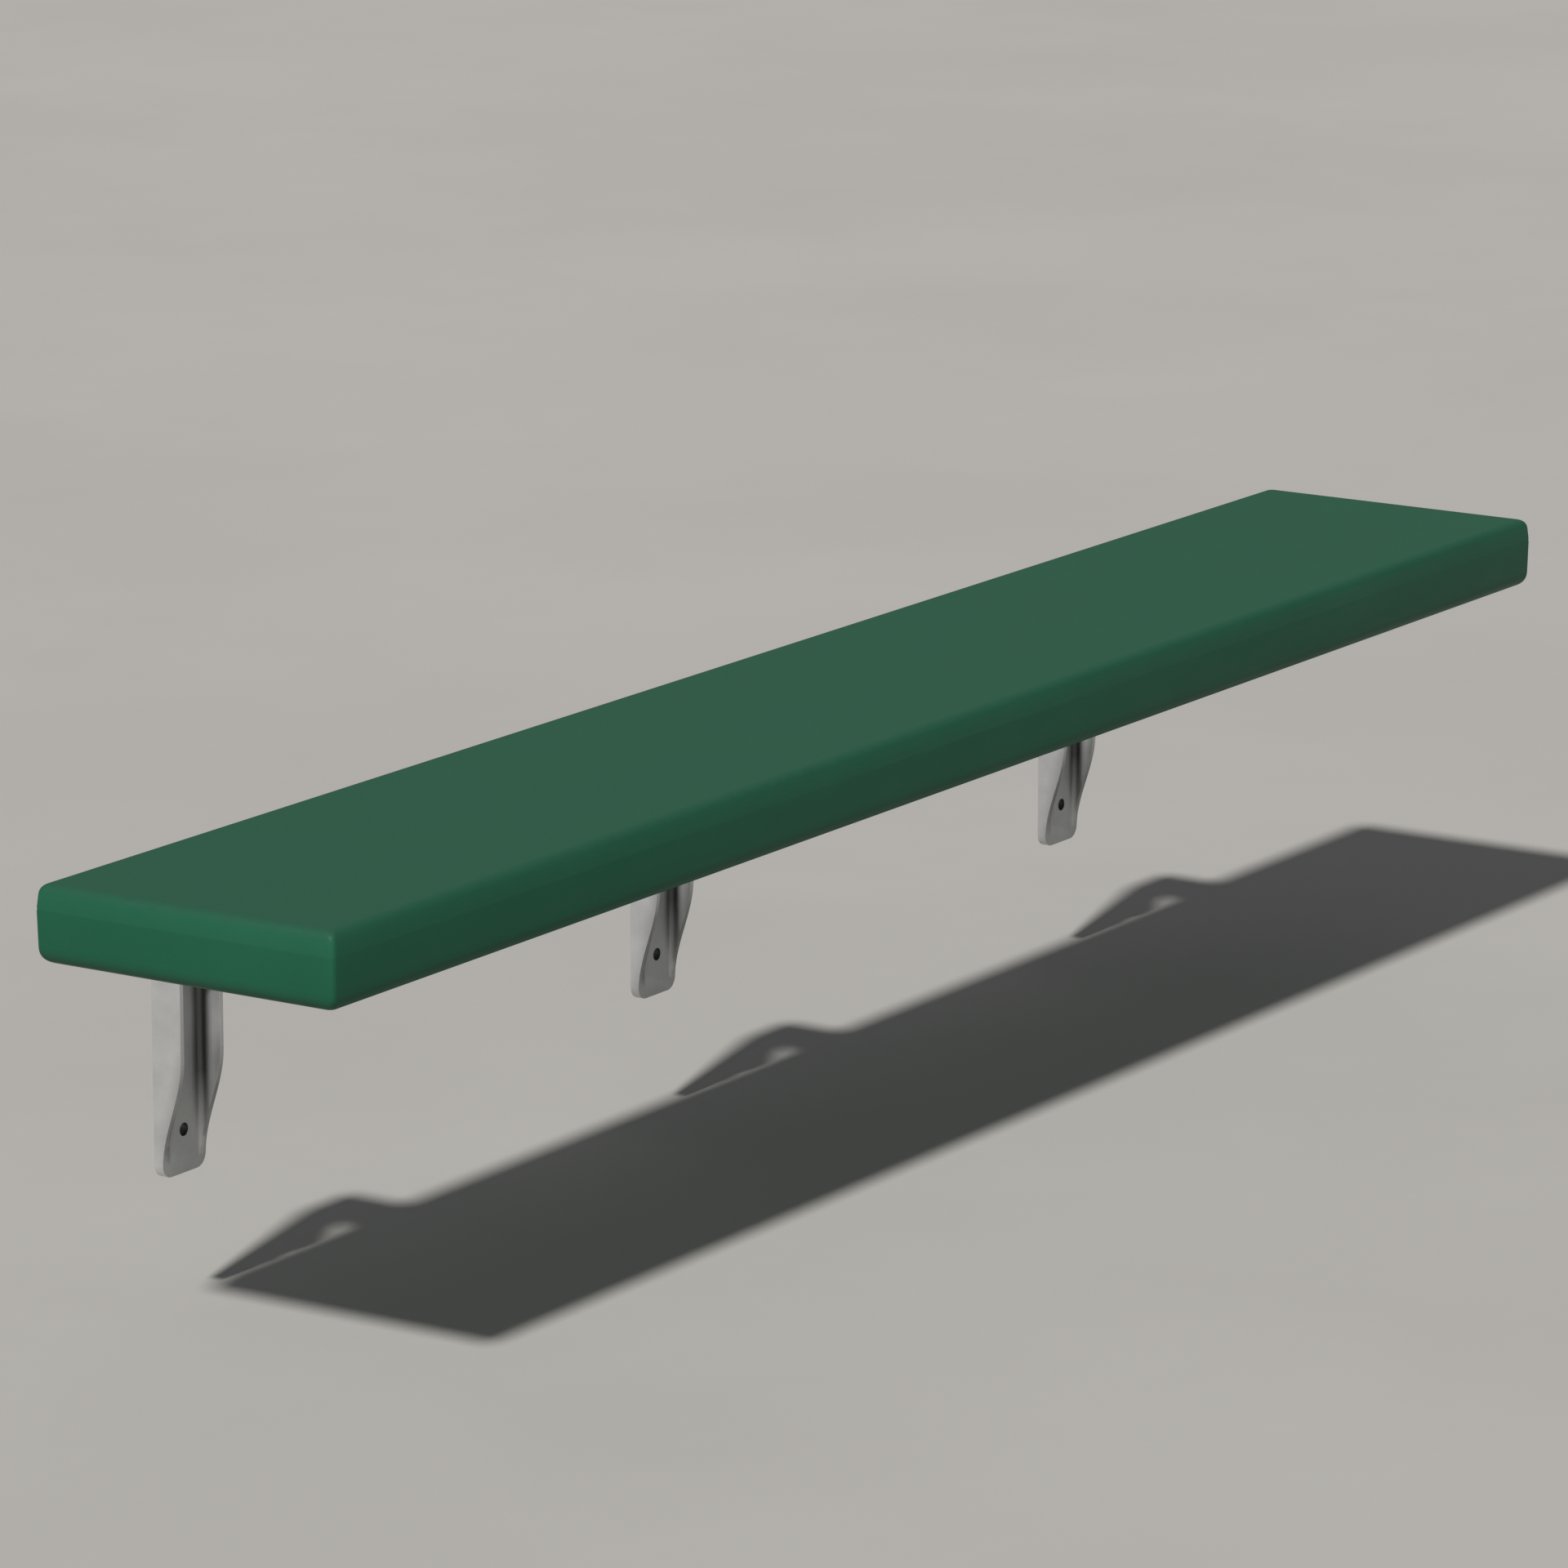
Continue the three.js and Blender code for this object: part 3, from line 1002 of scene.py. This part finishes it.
@dataclass
class Bracket:
    """A cast cantilever bracket: a web bent to a right angle, with a rib that rises down each side.

    Attributes:
        side: Which bracket it is: left, middle or right.
        web: The thickness of its web.
        rib: The thickness of its ribs at their roots.
        depth: The depth of its ribs, web included.
        rise: Where the ribs start to rise, from each end, and the length of their S curve.
        heel_radius: The outer radius between leg and arm.
        crook_radius: The radius of the ribs' inner corner.
        inner_radius: The radius of the web's inner corner.
        end_radius: The radius of the rounded corners at both ends.
        draft: How much thinner the ribs are at their rims than at their roots.
        fillet: The radius of the fillets between web and ribs.
        wall_hole: The radius of its wall holes, and how far each lies above or below the origin.
        bolt_hole: The radius of the holes for the seat bolts.
        rim_radius: The radius of the fettled edges.
        steps: The steps in each curve seen from the side.
        fillet_steps: The steps in each fillet.
        end_steps: The steps in each rounded corner.
        rim_steps: The steps in each fettled edge.
        low: The lowest corner of its box.
        high: The highest corner of its box.
    """

    side: str
    web: float = 0.009
    rib: float = 0.006
    depth: float = 0.030
    rise: tuple[float, float] = (0.010, 0.096)
    heel_radius: float = 0.010
    crook_radius: float = 0.018
    inner_radius: float = 0.014
    end_radius: float = 0.012
    draft: float = 0.0012
    fillet: float = 0.005
    wall_hole: tuple[float, float] = (0.0055, 0.085)
    bolt_hole: float = 0.0045
    rim_radius: float = 0.0013
    steps: int = 14
    fillet_steps: int = 6
    end_steps: int = 10
    rim_steps: int = 3
    low: Vector = field(init=False)
    high: Vector = field(init=False)

    def __post_init__(self) -> None:
        """Read the bracket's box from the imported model."""
        self.low, self.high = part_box(f"bracket_{self.side}")

    @property
    def place(self) -> float:
        """Where its middle lies along the seat."""
        return (self.low.x + self.high.x) / 2

    def rise_points(self) -> list[Point]:
        """Draw the S curve of one rib.

        Returns:
            Distances from the rib's end, and its depth at each, web included.
        """
        start, length = self.rise
        shares = [step / self.steps for step in range(self.steps + 1)]
        rib = self.depth - self.web
        return [(start + length * t, self.web + rib * t * t * (3 - 2 * t)) for t in shares]

    def outside(self) -> Solid:
        """Draw the full outside of the casting from its side.

        Returns:
            The outside as a solid.
        """
        back, tip, foot, top = self.high.y, self.low.y, self.low.z, self.high.z
        heel = arc((back - self.heel_radius, top - self.heel_radius), self.heel_radius, 0, 90, self.steps)
        inner = self.depth + self.crook_radius
        crook = arc((back - inner, top - inner), self.crook_radius, 90, 0, self.steps)
        arm = [(tip, top - self.web), *((tip + u, top - d) for u, d in self.rise_points())]
        leg = [(back - self.web, foot), *((back - d, foot + u) for u, d in self.rise_points())]
        outline = [(back, foot), *heel, (tip, top), *arm, *crook, *reversed(leg)]
        return bar(outline, View.SIDE, self.low.x, self.high.x)

    def inside(self) -> Solid:
        """The open room between the ribs as a solid, with draft on its sides and a filleted floor.

        Returns:
            The room, swept along the leg, round the inner corner and along the arm.
        """
        half = (self.high.x - self.low.x) / 2 - self.rib
        room = self.depth - self.web + OVERCUT
        wide = half + self.draft * room / (self.depth - self.web)
        left = arc((-half + self.fillet, self.fillet), self.fillet, 180, 270, self.fillet_steps)
        right = arc((half - self.fillet, self.fillet), self.fillet, 270, 360, self.fillet_steps)
        section = [(-wide, room), *left, *right, (wide, room)]
        back, top = self.high.y - self.web, self.high.z - self.web
        shape = bmesh.new()
        rings = []
        for start, away in self.inner_path(back, top):
            ring = []
            for across, height in section:
                y, z = (from_web + way * height for from_web, way in zip(start, away))
                ring.append(shape.verts.new((self.place + across, y, z)))
            rings.append(ring)
        close_rings(shape, rings)
        return shape

    def inner_path(self, back: float, top: float) -> list[tuple[Point, Point]]:
        """List the stations that the inside is swept through, from the foot to the arm's tip.

        Args:
            back: Where the leg's web ends, towards the room.
            top: Where the arm's web ends, towards the room.

        Returns:
            For each station, the point on the web as (Y, Z) and the way into the room. Round the
            corner that way is the mitre's, so that every level of the room turns at its own height.
        """
        radius = self.inner_radius
        corner = arc((back - radius, top - radius), radius, 0, 90, self.steps)
        foot = ((back, self.low.z - OVERCUT), (-1.0, 0.0))
        tip = ((self.low.y - OVERCUT, top), (0.0, -1.0))
        return [foot, *((point, (-1.0, -1.0)) for point in corner), tip]

    def rounded_end(self, view: View, end: float, beyond: float, low: float, high: float) -> Solid:
        """A bar a hair wider than the bracket, with rounded corners at the end to keep.

        Args:
            view: The side that it is drawn from.
            end: Where its rounded end lies.
            beyond: Where its square end lies.
            low: Where it starts on its axis.
            high: Where it ends.

        Returns:
            The bar.
        """
        hair = 0.00002
        left, right = self.low.x - hair, self.high.x + hair
        radius = self.end_radius
        corners = arc((left + radius, end + radius), radius, 180, 270, self.end_steps)
        corners += arc((right - radius, end + radius), radius, 270, 360, self.end_steps)
        return bar([(left, beyond), *corners, (right, beyond)], view, low, high)

    def cuts(self) -> Iterable[tuple[Cut, Solid]]:
        """Hollow the casting between its ribs, round its ends and drill it.

        Yields:
            For each cut, what is done with its solid, and the solid.
        """
        reach = (self.low.y - OVERCUT, self.high.y + OVERCUT)
        span = (self.low.z - OVERCUT, self.high.z + OVERCUT)
        yield Cut.AWAY, self.inside()
        yield Cut.KEEP, self.rounded_end(View.FRONT, self.low.z, span[1], *reach)
        yield Cut.KEEP, self.rounded_end(View.PLAN, self.low.y, reach[1], *span)
        radius, height = self.wall_hole
        for z in (-height, height):
            centre = Vector((self.place, 0.0, z))
            yield Cut.AWAY, round_bar(centre, radius, View.FRONT, -2 * self.web, OVERCUT)
        for name in nodes_of(f"bolt_{self.side}"):
            low = self.high.z - 2 * self.web
            yield Cut.AWAY, round_bar(middle(name), self.bolt_hole, View.PLAN, low, self.high.z + OVERCUT)

    def build(self, material: Material) -> Object:
        """Cast, drill, fettle and dress the bracket.

        Args:
            material: Its finish.

        Returns:
            The finished bracket.
        """
        name = f"cast_bracket_{self.side}"
        rough = machined(name, self.outside(), self.cuts())
        with reworked(rough.data) as cast:
            bmesh.ops.remove_doubles(cast, verts=cast.verts, dist=CUT_MERGE)
            bmesh.ops.dissolve_limit(cast, angle_limit=FLAT_ANGLE, verts=cast.verts, edges=cast.edges)
        edges = rough.modifiers.new("fettled_edges", "BEVEL")
        edges.width = self.rim_radius
        edges.segments = self.rim_steps
        edges.limit_method = "ANGLE"
        edges.angle_limit = FETTLED_ANGLE
        rough.data.shade_smooth()
        normals = rough.modifiers.new("flat_faces", "WEIGHTED_NORMAL")
        normals.keep_sharp = True
        normals.weight = FLAT_WEIGHT
        piece = new_object(name, settled(rough, name))
        mark_edges(piece.data)
        # The distance from the bracket's middle, which places its painted shade
        across = piece.data.attributes.new(ACROSS_ATTRIBUTE, "FLOAT", "POINT")
        for vertex in piece.data.vertices:
            across.data[vertex.index].value = vertex.co.x - self.place
        piece.data.materials.clear()
        piece.data.materials.append(material)
        return fit_out(piece, [f"bracket_{self.side}"])


@dataclass
class SeatFixings:
    """What holds the plank down: hexagon bolts, flat washers and inserts moulded into the plank.

    Attributes:
        across_flats: The bolt head's width.
        head: The bolt head's height.
        chamfer: The height of the head's chamfer.
        face: The radius of the head's flat end, as a share of its width.
        thread: The bolt's outer radius, its length and its pitch.
        thread_root: How far the thread's root lies inside its outer radius, in pitches.
        thread_crest: The radius of the thread's own section, in pitches.
        washer_hole: The radius of the washer's hole.
        washer_edge: The rounding of the washer's edges.
        waist: How much slimmer the insert's waist is than its collars.
        collars: Where the insert's collars start and end, as shares of its length.
        knurls: The number of knurls round a collar.
        knurl_root: The radius between two knurls, as a share of the collar's.
        bore: The radius and depth of the insert's bore.
    """

    across_flats: float = 0.013
    head: float = 0.0053
    chamfer: float = 0.0009
    face: float = 0.49
    thread: tuple[float, float, float] = (0.004, 0.030, 0.00125)
    thread_root: float = 0.55
    thread_crest: float = 0.42
    washer_hole: float = 0.0044
    washer_edge: float = 0.0003
    waist: float = 0.001
    collars: tuple[Point, Point] = ((0.0, 0.37), (0.70, 1.0))
    knurls: int = 28
    knurl_root: float = 0.95
    bore: tuple[float, float] = (0.0043, 0.0195)

    def bolts(self, material: Material) -> Object:
        """Make all the seat bolts, each with a chamfered head and a real thread.

        Args:
            material: Their finish.

        Returns:
            The bolts as one piece.
        """
        graph = GeometryGraph("seat_bolts")
        flats = graph.size("Across Flats", self.across_flats)
        head = graph.size("Head Height", self.head)
        chamfer = graph.size("Head Chamfer", self.chamfer)
        radius = graph.size("Thread Radius", self.thread[0])
        length = graph.size("Shank Length", self.thread[1])
        pitch = graph.size("Thread Pitch", self.thread[2])
        below = graph.times(head, -1.0)
        corner = graph.over(flats, math.sqrt(3))
        flat = graph.times(flats, self.face)
        slope = graph.over(graph.minus(corner, flat), chamfer)
        widest = graph.plus(flat, graph.times(slope, head))
        inputs = {"Vertices": 48, "Radius Bottom": flat, "Radius Top": widest, "Depth": head}
        cone = graph.moved(graph.add("GeometryNodeMeshCone", inputs).outputs["Mesh"], graph.up(below))
        hexagon = graph.boolean("INTERSECT", graph.rod(corner, below, 0.0, 6), cone)
        root = graph.minus(radius, graph.times(pitch, self.thread_root))
        shank = graph.rod(root, graph.times(head, -0.2), length, 24)
        threaded = graph.minus(length, graph.times(pitch, 2.0))
        turns = graph.over(threaded, pitch)
        crest = graph.minus(radius, graph.times(pitch, self.thread_crest))
        inputs = {"Resolution": 20, "Rotations": turns, "Height": threaded}
        inputs |= {"Start Radius": crest, "End Radius": crest}
        helix = graph.moved(graph.add("GeometryNodeCurveSpiral", inputs).outputs[0], graph.up(pitch))
        inputs = {"Resolution": 4, "Radius": graph.times(pitch, self.thread_crest)}
        thread = graph.swept(helix, graph.add("GeometryNodeCurvePrimitiveCircle", inputs).outputs[0])
        whole = graph.add("GeometryNodeJoinGeometry", {0: [hexagon, shank, thread]}).outputs[0]
        names = nodes_of("bolt")
        places = [Vector((middle(n).x, middle(n).y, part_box(n)[0].z + self.head)) for n in names]
        return fit_out(graph.grow("seat_bolts", places, whole, material), names)

    def washers(self, material: Material) -> Object:
        """Make all the washers, with softly stamped edges.

        Args:
            material: Their finish.

        Returns:
            The washers as one piece.
        """
        names = nodes_of("washer")
        low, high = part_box(names[0])
        graph = GeometryGraph("seat_washers")
        outer = graph.size("Outer Radius", (high.x - low.x) / 2)
        hole = graph.size("Hole Radius", self.washer_hole)
        thickness = graph.size("Thickness", high.z - low.z)
        edge = graph.size("Edge Rounding", self.washer_edge)
        mean = graph.times(graph.plus(outer, hole), 0.5)
        inputs = {"Width": graph.minus(outer, hole), "Height": thickness}
        section = graph.add("GeometryNodeCurvePrimitiveQuadrilateral", inputs).outputs[0]
        inputs = {"Curve": section, "Radius": edge, "Limit Radius": True, "Count": 3}
        rounded = graph.add("GeometryNodeFilletCurve", inputs, mode="POLY").outputs[0]
        inputs = {"Resolution": 56, "Radius": mean}
        circle = graph.add("GeometryNodeCurvePrimitiveCircle", inputs).outputs[0]
        disc = graph.swept(circle, rounded)
        places = [middle(name) for name in names]
        return fit_out(graph.grow("seat_washers", places, disc, material), names)

    def inserts(self, material: Material) -> Object:
        """Make all the inserts, with two knurled collars on a waist and a bore.

        Args:
            material: Their finish.

        Returns:
            The inserts as one piece.
        """
        names = nodes_of("insert")
        low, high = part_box(names[0])
        graph = GeometryGraph("seat_inserts")
        outer = graph.size("Collar Radius", (high.x - low.x) / 2)
        length = graph.size("Length", high.z - low.z)
        waist = graph.minus(outer, graph.size("Waist Depth", self.waist))
        bore = graph.size("Bore Radius", self.bore[0])
        depth = graph.size("Bore Depth", self.bore[1])
        knurls = graph.size("Knurls", self.knurls)
        inputs = {"Points": knurls, "Outer Radius": outer}
        inputs |= {"Inner Radius": graph.times(outer, self.knurl_root)}
        star = graph.add("GeometryNodeCurveStar", inputs).outputs[0]
        collars = []
        for start, end in self.collars:
            ends = [graph.up(graph.times(length, share)) for share in (start, end)]
            line = graph.add("GeometryNodeCurvePrimitiveLine", {"Start": ends[0], "End": ends[1]}).outputs[0]
            collars.append(graph.swept(line, star))
        core = graph.rod(waist, graph.times(length, 0.1), graph.times(length, 0.9), 32)
        solid = graph.boolean("UNION", *collars, core)
        drill = graph.rod(bore, -OVERCUT, depth, 32)
        hollow = graph.boolean("DIFFERENCE", solid, drill)
        places = [Vector((middle(n).x, middle(n).y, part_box(n)[0].z)) for n in names]
        return fit_out(graph.grow("seat_inserts", places, hollow, material), names)


# ---- the studio


@dataclass(frozen=True)
class Studio:
    """A plain pale floor, a soft key light from the left, an even fill and the camera.

    Attributes:
        seat_height: How high the seat stands above the floor.
        floor_reach: How far the floor runs from the bench.
        key_travel: The way the key light travels.
        key_angle: The width of the key light in the sky, in degrees.
        key_strength: Its strength.
        key_colour: Its colour.
        fill: The strength of the even fill.
        fill_colour: Its colour.
        lens: The camera's lens, in millimetres.
        azimuth: How far round the camera stands, in degrees; 0 looks along +Y.
        elevation: How far above the level it looks down from, in degrees.
        distance: How far it stands from the point that it looks at.
        aim: That point.
    """

    seat_height: float = 0.441
    floor_reach: float = 40.0
    key_travel: tuple[float, float, float] = (0.656, 0.175, -0.734)
    key_angle: float = 3.5
    key_strength: float = 3.5
    key_colour: Colour = (1.0, 0.985, 0.96)
    fill: float = 0.17
    fill_colour: Colour = (0.93, 0.96, 1.0)
    lens: float = 186.6
    azimuth: float = -56.81
    elevation: float = 13.14
    distance: float = 7.3715
    aim: tuple[float, float, float] = (0.0, -0.149, 0.0939)

    def lay_floor(self, seat_top: float) -> None:
        """Lay the floor under the bench.

        Args:
            seat_top: The height of the seat's top in the row frame.
        """
        shape = bmesh.new()
        reach, height = self.floor_reach, seat_top - self.seat_height
        corners = [(-reach, -reach), (reach, -reach), (reach, reach), (-reach, reach)]
        shape.faces.new([shape.verts.new((x, y, height)) for x, y in corners])
        mesh = bpy.data.meshes.new("floor")
        shape.to_mesh(mesh)
        shape.free()
        mesh.materials.append(PaleFloor().make())
        new_object("floor", mesh)

    def light(self) -> None:
        """Hang the key light and set the fill."""
        lamp = bpy.data.lights.new("key", "SUN")
        lamp.energy = self.key_strength
        lamp.angle = math.radians(self.key_angle)
        lamp.color = self.key_colour
        key = bpy.data.objects.new("key", lamp)
        key.rotation_mode = "QUATERNION"
        key.rotation_quaternion = Vector(self.key_travel).to_track_quat("-Z", "Y")
        bpy.context.scene.collection.objects.link(key)
        world = bpy.data.worlds.new("studio")
        world.use_nodes = True
        background = world.node_tree.nodes["Background"]
        background.inputs["Color"].default_value = (*self.fill_colour, 1.0)
        background.inputs["Strength"].default_value = self.fill
        bpy.context.scene.world = world

    def set_camera(self) -> None:
        """Stand the camera where it sees the bench from its left front."""
        turn, lift = math.radians(self.azimuth), math.radians(self.elevation)
        back = Vector((math.sin(turn) * math.cos(lift), -math.cos(turn) * math.cos(lift), math.sin(lift)))
        data = bpy.data.cameras.new("camera")
        data.lens = self.lens
        data.sensor_width = 36.0
        data.clip_end = 200.0
        camera = bpy.data.objects.new("camera", data)
        camera.location = Vector(self.aim) + back * self.distance
        camera.rotation_mode = "QUATERNION"
        camera.rotation_quaternion = (-back).to_track_quat("-Z", "Y")
        bpy.context.scene.collection.objects.link(camera)
        bpy.context.scene.camera = camera

    def build(self, seat_top: float) -> None:
        """Set up floor, lights and camera, with plain colour handling.

        Args:
            seat_top: The height of the seat's top in the row frame.
        """
        self.lay_floor(seat_top)
        self.light()
        self.set_camera()
        bpy.context.scene.view_settings.view_transform = "Standard"


def main() -> None:
    """Build the bench piece by piece, then the studio."""
    logging.basicConfig(level=logging.INFO, format="%(name)s: %(message)s")
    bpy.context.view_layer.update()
    metal = CastAluminium().make()
    stainless = StainlessSteel().make()
    seat = SeatPlank(*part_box("seat_plank"))
    seat.build(MouldedPlastic().make())
    for side in ("left", "middle", "right"):
        Bracket(side).build(metal)
    fixings = SeatFixings()
    fixings.bolts(stainless)
    fixings.washers(stainless)
    fixings.inserts(TurnedBrass().make())
    Studio().build(seat.high.z)


if __name__ == "__main__":
    main()
